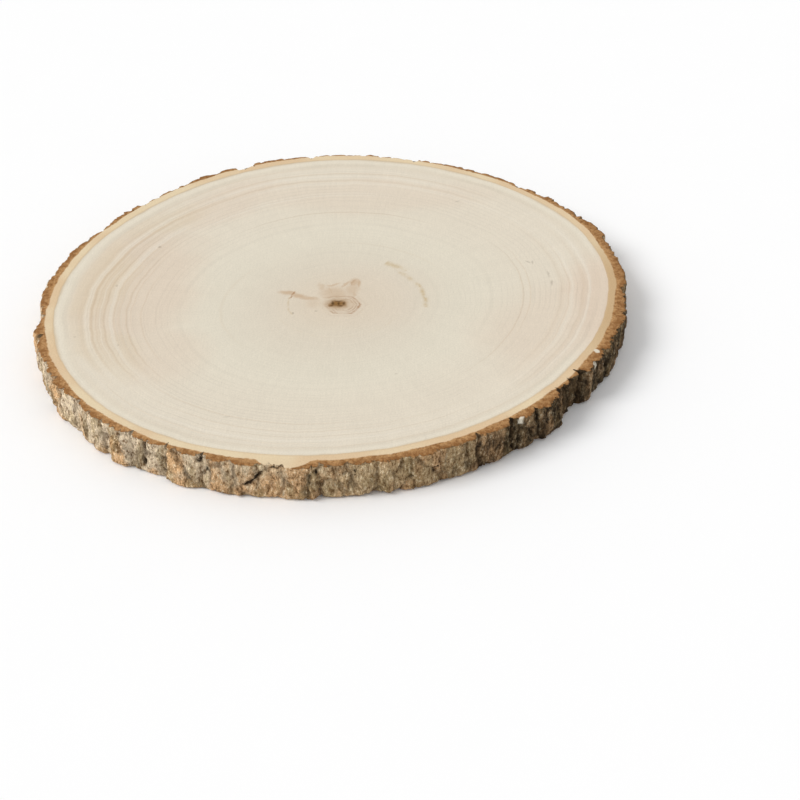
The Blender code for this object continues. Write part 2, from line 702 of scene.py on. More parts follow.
@dataclass(frozen=True)
class SawnWoodFinish:
    """Pale end grain, sanded and left bare."""

    bands: tuple[tuple[float, Colour], ...] = (
        (0.000, colour(214, 199, 175)),
        (0.080, colour(216, 204, 184)),
        (0.250, colour(217, 207, 189)),
        (0.420, colour(220, 212, 194)),
        (0.520, colour(222, 214, 196)),
        (0.620, colour(222, 213, 195)),
        (0.760, colour(222, 212, 194)),
        (0.850, colour(223, 213, 195)),
        (0.905, colour(223, 213, 195)),
        (0.935, colour(223, 213, 195)),
        (0.957, colour(221, 210, 191)),
        (0.970, colour(222, 212, 193)),
        (0.984, colour(225, 216, 198)),
        (0.994, colour(222, 212, 193)),
        (1.000, colour(211, 195, 170)),
    )
    lines: tuple[GrowthLine, ...] = (
        GrowthLine(0.866, 0.0060, 165, 60, 0.38),
        GrowthLine(0.858, 0.0040, 110, 40, 0.24),
        GrowthLine(0.850, 0.0030, 178, 40, 0.24),
        GrowthLine(0.822, 0.0050, 180, 50, 0.30),
        GrowthLine(0.806, 0.0030, 195, 30, 0.24),
        GrowthLine(0.786, 0.0035, 172, 45, 0.26),
        GrowthLine(0.742, 0.0040, 182, 50, 0.26),
        GrowthLine(0.726, 0.0025, 172, 30, 0.20),
        GrowthLine(0.690, 0.0030, 188, 35, 0.18),
        GrowthLine(0.794, 0.0025, -112, 40, 0.26),
        GrowthLine(0.828, 0.0020, -80, 35, 0.16),
        GrowthLine(0.846, 0.0025, -104, 40, 0.22),
        GrowthLine(0.880, 0.0020, -84, 45, 0.20),
        GrowthLine(0.905, 0.0035, 92, 50, 0.24),
        GrowthLine(0.924, 0.0025, -120, 40, 0.20),
        GrowthLine(0.951, 0.0030, -72, 60, 0.14),
        GrowthLine(0.948, 0.0030, 128, 50, 0.18),
        GrowthLine(0.704, 0.0025, 8, 35, 0.20),
        GrowthLine(0.678, 0.0030, -4, 50, 0.24),
        GrowthLine(0.850, 0.0030, 4, 40, 0.16),
        GrowthLine(0.640, 0.0030, 92, 40, 0.22),
        GrowthLine(0.410, 0.0060, 180, 50, 0.10),
        GrowthLine(0.424, 0.0050, 64, 40, 0.09),
        GrowthLine(0.905, 0.0100, 170, 60, 0.16),
        GrowthLine(0.836, 0.0110, 168, 60, 0.18),
        GrowthLine(0.766, 0.0120, 180, 55, 0.16),
        GrowthLine(0.905, 0.0080, -4, 50, 0.14),
        GrowthLine(0.822, 0.0100, 2, 50, 0.12),
        GrowthLine(0.858, 0.0080, 92, 50, 0.16),
    )
    pale_lines: tuple[GrowthLine, ...] = (
        GrowthLine(0.756, 0.0035, 108, 40, 0.45),
        GrowthLine(0.770, 0.0025, 100, 35, 0.35),
        GrowthLine(0.846, 0.0030, 62, 60, 0.35),
        GrowthLine(0.877, 0.0030, 176, 50, 0.40),
        GrowthLine(0.836, 0.0030, 184, 40, 0.35),
        GrowthLine(0.760, 0.0030, 180, 40, 0.25),
        GrowthLine(0.870, 0.0030, -24, 45, 0.30),
        GrowthLine(0.860, 0.0025, -95, 40, 0.30),
        GrowthLine(0.800, 0.0090, 176, 60, 0.40),
        GrowthLine(0.886, 0.0060, 166, 60, 0.40),
        GrowthLine(0.928, 0.0060, 2, 50, 0.45),
        GrowthLine(0.862, 0.0070, 0, 45, 0.35),
        GrowthLine(0.884, 0.0070, 95, 50, 0.45),
        GrowthLine(0.836, 0.0060, 88, 45, 0.35),
        GrowthLine(0.905, 0.0060, -100, 50, 0.40),
    )
    late_wood: Colour = colour(190, 163, 130)
    early_wood: Colour = colour(229, 221, 206)
    blush: Colour = colour(218, 200, 180)
    olive: Colour = colour(216, 200, 173)
    tan: Colour = colour(186, 150, 110)
    honey: Colour = colour(190, 164, 116)
    russet: Colour = colour(160, 116, 76)
    brown: Colour = colour(130, 90, 34)
    dark: Colour = colour(62, 38, 6)
    roughness: float = 0.62
    blushes: tuple[Fleck, ...] = (
        Fleck(-112, 4, 46, 88, 6, 0.60),
        Fleck(-92, -62, 30, 40, 40, 0.45),
        Fleck(114, -44, 46, 60, -12, 0.42),
        Fleck(20, 108, 105, 26, 0, 0.32),
        Fleck(-70, 96, 50, 26, 38, 0.45),
        Fleck(10, -14, 50, 36, 0, 0.22),
    )
    rim_blushes: tuple[Fleck, ...] = (
        Fleck(146, -16, 28, 72, -8, 0.85),
    )
    olives: tuple[Fleck, ...] = (
        Fleck(-131, 8, 20, 66, 6, 0.50),
        Fleck(-108, 74, 40, 16, 42, 0.35),
        Fleck(-118, -62, 16, 34, 36, 0.35),
    )
    stains: tuple[Fleck, ...] = (
        Fleck(-1, -7, 10, 8, 0, 0.36),
        Fleck(8.5, -4, 5, 9, -10, 0.34),
        Fleck(9.4, 3.6, 3.4, 6, -12, 0.50),
        Fleck(-8, -1.5, 2.2, 6.0, 20, 0.30),
        Fleck(-1.8, 1.2, 5.5, 1.4, 18, 0.44),
        Fleck(5.0, 2.0, 1.2, 6.0, -32, 0.46),
        Fleck(11.7, 3.0, 1.2, 6.5, 6, 0.56),
        Fleck(-3.2, -5.5, 1.2, 6.0, 10, 0.46),
        Fleck(9.6, -8.0, 1.2, 4.5, 10, 0.38),
        Fleck(-26.0, -7.6, 7.0, 2.8, -10, 0.56),
        Fleck(-20.0, -10.4, 7.0, 2.6, -18, 0.56),
        Fleck(-14.5, -13.0, 7.0, 2.4, -12, 0.48),
        Fleck(-12.5, -18, 5.0, 7.0, 0, 0.16),
        Fleck(1.5, -18.4, 9.0, 7.4, 0, 0.62),
        Fleck(8.5, -18.5, 5.4, 8.0, 0, 0.26),
    )
    streaks: tuple[Fleck, ...] = (
        Fleck(-23.0, -8.0, 0.6, 2.8, -24, 0.70),
        Fleck(-24.4, -11.6, 0.6, 2.2, -20, 0.60),
        Fleck(9.0, 4.0, 0.7, 5.0, -24, 0.24),
        Fleck(-1.0, -11.0, 8.0, 0.8, 8, 0.30),
    )
    heart: tuple[Fleck, ...] = (
        Fleck(0.8, -18.0, 8.0, 6.8, 0, 0.36),
        Fleck(0.6, -18.2, 6.0, 5.2, 0, 0.90),
        Fleck(3.0, -19.0, 4.4, 4.0, 0, 0.80),
        Fleck(-2.2, -19.6, 3.2, 2.6, 25, 0.80),
    )
    flecks: tuple[Fleck, ...] = (
        Fleck(-22.6, -28.0, 0.8, 1.4, 0, 0.36),
        Fleck(-10.4, -26.0, 1.2, 0.8, 0, 0.26),
        Fleck(-1.6, -17.8, 1.1, 2.6, 8, 0.72),
        Fleck(1.5, -18.0, 0.8, 2.6, 0, 0.70),
        Fleck(4.4, -17.8, 1.0, 2.4, -8, 0.66),
        Fleck(1.4, -15.4, 3.0, 0.8, 0, 0.60),
        Fleck(-2.2, -20.4, 1.5, 1.0, 30, 0.56),
        Fleck(2.4, -20.6, 2.0, 1.0, 0, 0.60),
        Fleck(106.5, 26.0, 2.4, 0.8, -50, 0.26),
        Fleck(109.0, 25.5, 0.8, 2.4, 0, 0.24),
        Fleck(116.8, 13.0, 0.8, 4.5, 6, 0.22),
        Fleck(118.0, 3.5, 0.8, 3.8, -4, 0.28),
        Fleck(69.0, 98.0, 2.4, 1.2, 20, 0.16),
        Fleck(-102.4, 42.8, 1.2, 1.4, 0, 0.26),
        Fleck(-120.4, 0.0, 0.9, 1.6, 0, 0.20),
        Fleck(-110.8, -58.8, 1.0, 1.2, 0, 0.16),
        Fleck(-134.3, -51.2, 1.1, 1.1, 0, 0.16),
        Fleck(-49.0, -121.5, 2.8, 0.8, 10, 0.14),
        Fleck(32.6, -85.0, 0.8, 1.1, 0, 0.14),
    )
    arcs: tuple[Arc, ...] = (
        Arc(47.2, -6, 26, 1.3, 0.62),
        Arc(46.6, 20, 46, 1.4, 0.40),
        Arc(49.6, 42, 60, 2.2, 0.56),
        Arc(26.8, 165, 206, 0.5, 0.42),
        Arc(34.0, -160, -20, 0.6, 0.07),
    )
    hexagon_rings: tuple[tuple[float, float, float], ...] = (
        (5.9, 0.50, 0.40),
        (7.6, 0.45, 0.50),
        (9.4, 0.75, 0.78),
        (12.4, 0.80, 0.12),
    )
    hexagon_offset: tuple[float, float] = (2.8, -1.9)
    hexagon_turn: float = 0.6
    hexagon_drift: tuple[Drift, ...] = (Drift(6 * MM, 1.3 * MM, 20), Drift(1.6 * MM, 0.5 * MM, 24))
    pith_drift: tuple[Drift, ...] = (Drift(6 * MM, 0.9 * MM, 14),)
    patch_drift: tuple[Drift, ...] = (Drift(60 * MM, 22 * MM, 12), Drift(8 * MM, 3 * MM, 13))
    stain_drift: tuple[Drift, ...] = (Drift(5 * MM, 2.0 * MM, 11), Drift(1.2 * MM, 0.5 * MM, 18))
    fleck_drift: tuple[Drift, ...] = (Drift(3 * MM, 1.0 * MM, 21), Drift(0.8 * MM, 0.5 * MM, 22))
    ring_wander: tuple[tuple[Grain, float], ...] = (
        (Grain(30 * MM, 4), 0.022),
        (Grain(11 * MM, 28), 0.006),
        (Grain(4 * MM, 6), 0.003),
    )
    ring_bands: Grain = Grain(0.050, 1, 5, 0.7)
    dark_lines: Grain = Grain(0.040, 2, 0)
    light_lines: Grain = Grain(0.052, 3, 0)
    fine_lines: Grain = Grain(0.019, 6, 0)
    dark_patches: Grain = Grain(55 * MM, 5, 3)
    light_patches: Grain = Grain(40 * MM, 19, 3)
    faint_patches: Grain = Grain(30 * MM, 27, 3)
    arc_patches: Grain = Grain(5 * MM, 17, 3)
    hexagon_fading: Grain = Grain(4 * MM, 23)
    rays: Grain = Grain(1, 7)
    rays_across: float = 55.0
    rays_along: float = 6.0
    pores: Grain = Grain(0.8 * MM, 8, 2, 0.6)
    clouds: Grain = Grain(12 * MM, 9, 3)
    sanding: Grain = Grain(0.9 * MM, 10)
    sanding_stretch: float = 0.12
    sheen: Grain = Grain(3 * MM, 15)
    sheen_range: float = 0.14
    specular: float = 0.12
    fuzz: Grain = Grain(0.7 * MM, 16, 3)
    fuzz_height: float = 0.10 * MM
    fuzz_strength: float = 0.6

    def material(self, trunk: Trunk) -> bpy.types.Material:
        """Builds the finish for a trunk and returns the material."""
        return WoodPainter(self, trunk).paint()


class WoodPainter(Finish):
    """Lays the sawn wood's colours one over another, from its growth rings up to its small marks."""

    def __init__(self, look: SawnWoodFinish, trunk: Trunk) -> None:
        """Starts the material and works out where each place lies in the trunk.

        Args:
            look: The finish's colours, marks and grains.
            trunk: The trunk, for the place of its pith.
        """
        super().__init__("sawn_end_grain")
        self.look = look
        self.trunk = trunk
        self.flat = self.stretched(self.place, 0.0)
        self.ring = self.mark(Mark.RING)
        for grain, reach in look.ring_wander:
            self.ring = self.ring + self.swing(self.place, grain, reach)
        pith = (trunk.pith[0], trunk.pith[1], 0.0)
        self.away = self.combine("SUBTRACT", self.drift(self.flat, look.pith_drift), pith)
        across, along, _ = self.parts(self.away)
        self.angle = self.math("ARCTAN2", along, across)

    def window(self, degrees: float, reach: float, full: float, strength: float = 1.0) -> Field:
        """Shows what lies to both sides of a direction from the pith.

        Args:
            degrees: The direction.
            reach: How far to each side it shows, in degrees.
            full: The share of the reach over which it shows in full.
            strength: How strongly it shows there.

        Returns:
            The strength, falling to 0 at the reach.
        """
        far = math.radians(reach)
        aside = self.trunk.aside(self, self.angle, degrees).magnitude()
        return aside.step(far * full, far, strength, 0.0)

    def line_share(self, lines: tuple[GrowthLine, ...]) -> Field:
        """Works out how strongly a set of growth lines shows.

        Args:
            lines: The growth lines.

        Returns:
            The strength, from 0 to 1.
        """
        shares = []
        for line in lines:
            window = self.window(line.middle, line.reach, 0.3, line.strength)
            shares.append((self.ring - line.ring).bell(line.width) * window)
        return self.strongest(shares)

    def arc_share(self) -> Field:
        """Works out how strongly the stained stretches of growth ring show.

        Returns:
            The strength, from 0 to 1.
        """
        radius = self.length(self.away)
        patchy = self.noise(self.place, self.look.arc_patches).step(0.38, 0.60, 0.20, 1.0)
        shares = []
        for arc in self.look.arcs:
            window = self.window((arc.start + arc.end) / 2, abs(arc.end - arc.start) / 2, 0.85)
            shares.append((radius - arc.radius * MM).bell(arc.width * MM) * window * arc.strength)
        return self.strongest(shares) * patchy

    def hexagon_share(self) -> Field:
        """Works out how strongly the angular rings round the pith show.

        Returns:
            The strength, from 0 to 1.
        """
        look = self.look
        middle = (look.hexagon_offset[0] * MM, look.hexagon_offset[1] * MM, 0.0)
        uneven = self.drift(self.away, look.hexagon_drift)
        x, y, _ = self.parts(self.combine("SUBTRACT", uneven, middle))
        slope = math.cos(math.radians(30))
        first = (x * slope + y * 0.5).magnitude()
        second = (x * slope - y * 0.5).magnitude()
        flat_sided = self.strongest([first, second, y.magnitude()]) / slope
        reach = flat_sided * 0.7 + self.length(self.vector(x, y)) * 0.3
        faded = self.noise(self.away, look.hexagon_fading).step(0.38, 0.58, 0.30, 1.0)
        one_sided = self.math("COSINE", self.angle + look.hexagon_turn) * 0.45 + 0.55
        shares = []
        for radius, width, strength in look.hexagon_rings:
            shares.append((reach - radius * MM).bell(width * MM) * strength)
        return self.strongest(shares) * (one_sided * faded)

    def ring_lines(self, grain: Grain, thin: float) -> Field:
        """Returns thin lines along the growth rings, unevenly spaced, each from 0 to 1."""
        return self.swing(self.vector(self.ring), grain).magnitude().step(0.0, thin, 1.0, 0.0)

    def ring_tone(self) -> Field:
        """Works out how much lighter or darker the growth rings make the wood.

        Returns:
            The factor, round 1.
        """
        look = self.look
        patchy = self.noise(self.place, look.dark_patches).step(0.38, 0.62, 0.10, 1.0)
        patchy_too = self.noise(self.place, look.light_patches).step(0.42, 0.60, 0.0, 1.0)
        faint = self.noise(self.place, look.faint_patches).step(0.35, 0.65, 0.35, 1.2)
        change = self.swing(self.vector(self.ring), look.ring_bands) * 0.10 * faint
        change = change - self.ring_lines(look.dark_lines, 0.04) * patchy * 0.055
        change = change + self.ring_lines(look.light_lines, 0.04) * patchy_too * 0.05
        change = change - self.ring_lines(look.fine_lines, 0.07) * patchy_too * 0.03
        outer = self.ring.step(0.35, 0.75, 0.4, 1.0)
        return 1.0 + change * outer

    def grain_tone(self) -> Field:
        """Works out how much the rays, the pores and the sanding change the wood's tone.

        Returns:
            The factor, round 1.
        """
        look = self.look
        across = self.math("COSINE", self.angle) * look.rays_across
        along = self.math("SINE", self.angle) * look.rays_across
        spokes = self.vector(across, along, self.ring * look.rays_along)
        sanded = self.combine("MULTIPLY", self.place, (1.0, look.sanding_stretch, 1.0))
        tone = 1.0 + self.swing(spokes, look.rays, 0.07) + self.swing(self.place, look.pores, 0.30)
        return tone + self.swing(self.place, look.clouds, 0.05) + self.swing(sanded, look.sanding, 0.10)

    def paint(self) -> bpy.types.Material:
        """Lays every colour and finishes the surface.

        Returns:
            The finished material.
        """
        look = self.look
        patches = self.drift(self.flat, look.patch_drift)
        frayed = self.drift(self.flat, look.stain_drift)
        crumbly = self.drift(self.flat, look.fleck_drift)
        inside = self.ring.step(0.93, 0.965, 1.0, 0.0)
        tone = self.ring_tone() * self.grain_tone()
        shade = self.ramp(self.ring, look.bands)
        for share, over in (
            (self.ovals(patches, look.blushes, 0.55) * inside, look.blush),
            (self.ovals(patches, look.olives, 0.55) * inside, look.olive),
            (self.ovals(patches, look.rim_blushes, 0.6), look.blush),
            (self.line_share(look.lines), look.late_wood),
            (self.line_share(look.pale_lines), look.early_wood),
        ):
            shade = self.blend(share, shade, over)
        shade = self.scaled(shade, tone)
        for share, over in (
            (self.ovals(frayed, look.stains, 0.75), look.tan),
            (self.arc_share(), look.honey),
            (self.hexagon_share(), look.russet),
            (self.ovals(frayed, look.streaks, 0.7), look.russet),
            (self.ovals(frayed, look.heart, 0.7), look.brown),
            (self.ovals(crumbly, look.flecks, 0.8), look.dark),
        ):
            shade = self.blend(share, shade, over)
        duller = look.roughness + look.sheen_range
        rough = self.noise(self.place, look.sheen).step(0.3, 0.7, look.roughness, duller)
        height = self.noise(self.place, look.fuzz) + tone * 0.8
        return self.dress(shade, rough, look.specular, height, look.fuzz_height, look.fuzz_strength)


@dataclass
class SawnWood:
    """The wood of the slice, a disc from the pith to the cambium, flat on both faces."""

    trunk: Trunk
    finish: SawnWoodFinish = field(default_factory=SawnWoodFinish)
    columns: int = 512
    face_rows: int = 110
    rim_rows: int = 3
    under_rows: int = 48
    crowding: float = 1.3
    tuck: float = 0.5 * MM
    heart_depth: float = 0.3 * MM
    heart_radius: float = 3.6 * MM
    ring_relief: float = 0.05 * MM
    growth: Grain = Grain(0.012, 2, 3)
    heart_drift: tuple[Drift, ...] = (Drift(5 * MM, 1.2 * MM, 14),)
    eccentric: float = 0.045
    wide_side: float = 100.0
    merge: float = 0.01 * MM

    def build(self) -> bpy.types.Object:
        """Grows the disc and dresses it.

        Returns:
            The finished piece.
        """
        tree = ShapeTree("sawn_wood", bpy.data.meshes.new("pith_guide"))
        columns = tree.size("Columns", self.columns)
        face_rows = tree.size("Face Rows", self.face_rows)
        rim_rows = tree.size("Rim Rows", self.rim_rows)
        under_rows = tree.size("Under Rows", self.under_rows)
        crowding = tree.size("Crowding", self.crowding)
        top = tree.size("Top", self.trunk.high.z)
        bottom = tree.size("Bottom", self.trunk.low.z)
        tuck = tree.size("Tuck", self.tuck)
        heart_depth = tree.size("Heart Depth", self.heart_depth)
        heart_radius = tree.size("Heart Radius", self.heart_radius)
        ring_relief = tree.size("Ring Relief", self.ring_relief)

        grid, angle, row = tree.grid(columns, face_rows + rim_rows + under_rows)
        out = row.share(0.0, face_rows)
        down = (row - face_rows).share(0.0, rim_rows)
        back = (row - face_rows - rim_rows).share(0.0, under_rows)
        ring = tree.math("POWER", out * (1.0 - back), crowding)

        centre_x, centre_y = self.trunk.middle()
        reach = self.trunk.cambium(tree, angle) + tuck * (down * 9.0).at_most(1.0) * (1.0 - back)
        edge_x = tree.math("COSINE", angle) * reach + centre_x
        edge_y = tree.math("SINE", angle) * reach + centre_y
        pith_x, pith_y = self.trunk.pith
        x = (edge_x - pith_x) * ring + pith_x
        y = (edge_y - pith_y) * ring + pith_y
        away = tree.length(tree.drift(tree.vector(x - pith_x, y - pith_y), self.heart_drift))
        heart = away.step(heart_radius * 0.4, heart_radius * 1.1, 1.0, 0.0) * heart_depth
        growth = tree.noise(tree.vector(ring), self.growth) * ring_relief
        sign = 1.0 - down * 2.0
        height = (top - bottom) * (1.0 - down) + bottom - (heart + growth) * sign

        wide_side = tree.math("COSINE", angle - math.radians(self.wide_side))
        lopsided = tree.math("SINE", ring * math.pi) * wide_side * self.eccentric
        marked = tree.store(grid, Mark.RING, ring + lopsided)
        position = tree.vector(x, y, height)
        piece = tree.finish(marked, position, self.merge, self.finish.material(self.trunk))
        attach(piece, BODY)
        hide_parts(CAD_NODE)
        return piece


# ---- The bark ----


@dataclass(frozen=True)
class BarkFinish:
    """Bark: pale inside, caramel where the saw crossed it, and rough grey-brown outside."""

    cambium: Colour = colour(206, 181, 147)
    inner: Colour = colour(226, 207, 173)
    inner_warm: Colour = colour(219, 192, 156)
    inner_dull: Colour = colour(196, 166, 126)
    caramel: Colour = colour(184, 142, 96)
    caramel_dark: Colour = colour(140, 98, 58)
    # painted light and shade: grey is the rough outside's colour toward the key light, and the darker grey
    # below is its painted-shade copy away from it
    grey: Colour = colour(207, 189, 163)
    painted_shade_grey: Colour = colour(182, 156, 118)
    olive: Colour = colour(150, 130, 94)
    tan: Colour = colour(200, 162, 120)
    brown: Colour = colour(104, 76, 44)
    fibre: Colour = colour(238, 220, 186)
    russet: Colour = colour(84, 58, 34)
    # painted shade for the creases along the plates' borders and the fissures' shoulders
    painted_crease_shade: Colour = colour(74, 56, 36)
    # painted shade in the cracks' open cores
    painted_crevice_shade: Colour = colour(26, 20, 14)
    # darker bark and painted shade on the side away from the key light
    shade_black: Colour = colour(33, 25, 16)
    inner_width: float = 4.3 * MM
    lichen: Colour = colour(222, 214, 196)
    lichens: tuple[Fleck, ...] = (
        Fleck(92.7, -122.7, 2.4, 1.2, 37, 0.90),
        Fleck(133.4, -75.2, 1.7, 1.1, 60, 0.85),
        Fleck(135.5, -64.2, 1.6, 2.2, 20, 0.90),
    )
    bare_angle: float = -97.0
    bare_depth: float = 5.0 * MM
    thin_angle: float = 105.0
    thin_depth: float = 1.3 * MM
    # the side away from the key light, where darker bark and painted shade go
    shady_angle: float = -30.0
    # painted light: the direction of the key light, toward which the bark's colours are made lighter
    painted_light_angle: float = -158.0
    dull_angle: float = -5.0
    inner_edge: Grain = Grain(14 * MM, 21, 3)
    inner_fringe: Grain = Grain(1.6 * MM, 22, 3)
    inner_patches: Grain = Grain(40 * MM, 23)
    outer_mottle: Grain = Grain(2.4 * MM, 24, 4, 0.65)
    sawn_grain: Grain = Grain(0.8 * MM, 25)
    patches: Grain = Grain(11 * MM, 31, 4)
    blotches: Grain = Grain(4 * MM, 35, 5, 0.7)
    moss: Grain = Grain(7 * MM, 33, 4)
    speckles: Grain = Grain(1.6 * MM, 32, 3, 0.85)
    grit: Grain = Grain(0.8 * MM, 36, 2, 0.7)
    bites: Grain = Grain(2.8 * MM, 26, 4, 0.8)
    bite_depth: float = 9 * MM
    notch_depth: float = 2.2 * MM
    flake_drift: tuple[Drift, ...] = (Drift(1.5 * MM, 0.8 * MM, 28),)
    coarse: Grain = Grain(1.8 * MM, 32, 5, 0.75)
    coarse_height: float = 1.4 * MM
    roughness: float = 0.86
    specular: float = 0.08

    def material(self) -> bpy.types.Material:
        """Builds the finish and returns the material."""
        return BarkPainter(self).paint()


class BarkPainter(Finish):
    """Lays the bark's colours: the sawn bands on its faces and the rough plates on its outside."""

    def __init__(self, look: BarkFinish) -> None:
        """Starts the material.

        Args:
            look: The finish's colours, marks and grains.
        """
        super().__init__("bark")
        self.look = look
        self.flat = self.stretched(self.place, 0.0)

    def toward(self, place: Input, degrees: float) -> Field:
        """Works out how squarely a place lies toward a direction.

        Args:
            place: The place.
            degrees: The direction.

        Returns:
            1 straight ahead and 0 at right angles.
        """
        way = self.node("ShaderNodeVectorMath", {0: place}, operation="NORMALIZE").outputs[0]
        x, y, _ = self.parts(way)
        turn = math.radians(degrees)
        return x * math.cos(turn) + y * math.sin(turn)

    def cut_colour(self) -> bpy.types.NodeSocket:
        """Mixes the colour of the bark where the saw crossed it, with painted light on its outer band
        toward the key light.

        Returns:
            The colour.
        """
        look = self.look
        inward = self.mark(Mark.INWARD)
        bare = self.toward(self.flat, look.bare_angle).step(0.9960, 1.0, 0.0, look.bare_depth)
        thin = self.toward(self.flat, look.thin_angle).step(0.3, 1.0, 0.0, look.thin_depth)
        uneven = self.swing(self.place, look.inner_edge, 3.0 * MM)
        fringe = self.swing(self.place, look.inner_fringe, 1.4 * MM)
        edge = inward - uneven - fringe - bare - thin
        patches = self.noise(self.place, look.inner_patches).step(0.38, 0.62)
        inner = self.blend(patches, look.inner, look.inner_warm)
        dull = self.toward(self.place, look.dull_angle).step(0.86, 0.99, 0.0, 0.85)
        inner = self.blend(dull, inner, look.inner_dull)
        inner = self.blend(inward.step(0.1 * MM, 1.2 * MM, 0.55, 0.0), inner, look.cambium)
        mottle = self.noise(self.place, look.outer_mottle).step(0.38, 0.68)
        outward = inward.step(look.inner_width, look.inner_width + 4 * MM, 0.0, 0.45)
        outer = self.blend((mottle + outward).at_most(1.0), look.caramel, look.caramel_dark)
        border = edge.step(look.inner_width - 0.5 * MM, look.inner_width + 0.3 * MM)
        shade = self.blend(border, inner, outer)
        grain = self.swing(self.place, look.sawn_grain, border * 0.9 + 0.3)
        # painted light: the outer sawn band is made up to 7% lighter toward the key light's side
        lit = self.toward(self.place, look.painted_light_angle).step(0.3, 1.0, 0.0, 0.07)
        return self.scaled(shade, (1.0 + grain) * (lit * border + 1.0))

    def side_colour(self) -> bpy.types.NodeSocket:
        """Mixes the colour of the bark's rough outside, with painted light on the side toward the key light
        and painted shade in its creases, its cracks and on the side away from the light.

        Returns:
            The colour.
        """
        look = self.look
        upright = self.stretched(self.place, 0.5)
        plate = self.mark(Mark.PLATE)
        _, _, height = self.parts(self.place)
        patches = self.noise(upright, look.patches)
        blotch = self.swing(upright, look.blotches)
        speckle = self.noise(upright, look.speckles)
        grit = self.swing(upright, look.grit)
        # how squarely a place faces the key light; it drives the painted light and shade below
        lit = self.toward(self.place, look.painted_light_angle)

        low_down = height.step(1 * MM, 9 * MM, 0.10, 0.0)
        warm = (patches + (plate - 0.5) * 0.20 + low_down).step(0.45, 0.62)
        # painted light and shade: the grey is lighter toward the key light and darker away from it
        grey = self.blend(lit.step(0.1, 0.95), look.painted_shade_grey, look.grey)
        shade = self.blend(warm, grey, look.tan)
        mossy = self.noise(upright, look.moss).step(0.48, 0.62) * 0.65
        shade = self.blend(mossy, shade, look.olive)
        shade = self.blend(speckle.step(0.36, 0.52, 0.9, 0.0), shade, look.brown)
        shade = self.blend(speckle.step(0.54, 0.66, 0.0, 0.85), shade, look.fibre)
        uneven = self.math("FRACT", plate * 7.0) * 0.18 - 0.06 + blotch * 0.9
        # painted light: the whole colour is made up to 20% lighter toward the key light and 7% darker away
        # from it
        shade = self.scaled(shade, (1.0 + grit * 1.5 + uneven) * lit.step(-0.2, 1.0, 0.93, 1.20))

        # painted shade: darker along the plates' borders and on the shoulders of open fissures, where shade
        # falls in the creases
        seam = (self.mark(Mark.BORDER) + blotch * 0.45).step(0.0, 0.08, 0.45, 0.0)
        valley = (self.mark(Mark.VALLEY) + blotch * 1.2).step(0.25, 0.80, 0.0, 0.75)
        shade = self.blend(seam.at_least(valley), shade, look.painted_crease_shade)
        sunk = self.mark(Mark.RELIEF) + (patches - 0.5) * 4 * MM
        shade = self.blend(sunk.step(-4.6 * MM, -2.2 * MM, 0.5, 0.0), shade, look.russet)
        # darker bark and painted shade: the side away from the key light turns near black in blotches
        shady_side = self.toward(self.place, look.shady_angle).step(0.55, 0.97)
        dark = (shady_side * 1.6 + (blotch - 0.15) * 4.0).step(0.0, 1.5, 0.0, 0.96)
        shade = self.blend(dark * speckle.step(0.50, 0.66, 1.0, 0.76), shade, look.shade_black)
        # painted shade: where the rough outside's colour shows in the pits of the flat sawn faces, it is
        # made darker
        sawn = self.mark(Mark.SAWN)
        shade = self.scaled(shade, sawn.step(0.0, 1.0, 1.0, 0.72))
        # painted shade: near black in the open cores of the cracks, less so on the sawn faces
        crack = (self.mark(Mark.CRACK) + grit * 1.8).step(0.22, 0.85) * (0.9 - sawn * 0.5)
        return self.blend(crack, shade, look.painted_crevice_shade)

    def paint(self) -> bpy.types.Material:
        """Lays the sawn bands over the rough outside and finishes the surface.

        Returns:
            The finished material.
        """
        look = self.look
        bite = self.swing(self.place, look.bites, look.bite_depth)
        notch = self.mark(Mark.VALLEY).step(0.30, 0.75) * look.notch_depth
        whole = (self.mark(Mark.MARGIN) + bite - notch).step(-0.3 * MM, 0.2 * MM)
        sawn = self.mark(Mark.SAWN) * whole
        shade = self.blend(sawn, self.side_colour(), self.cut_colour())
        _, _, height = self.parts(self.place)
        crusty = self.stretched(self.drift(self.place, look.flake_drift), 0.0)
        flakes = self.ovals(crusty, look.lichens, 0.3) * height.step(16 * MM, 18 * MM)
        shade = self.blend(flakes, shade, look.lichen)
        coarse = self.noise(self.stretched(self.place, 0.6), look.coarse)
        rough = coarse.step(0.3, 0.7, look.roughness, look.roughness + 0.1)
        bumps = coarse * (1.0 - sawn * 0.8)
        return self.dress(shade, rough, look.specular, bumps, look.coarse_height, 1.0)


@dataclass(frozen=True)
class Crack:
    """A crack in the bark.

    It starts at an angle in degrees and a height in millimetres, and runs to another angle and height. Its
    depth is in millimetres, and its openness says how wide its core is and how dark the shade painted in it
    is.
    """

    angle: float
    low: float
    end_angle: float
    high: float
    depth: float
    openness: float


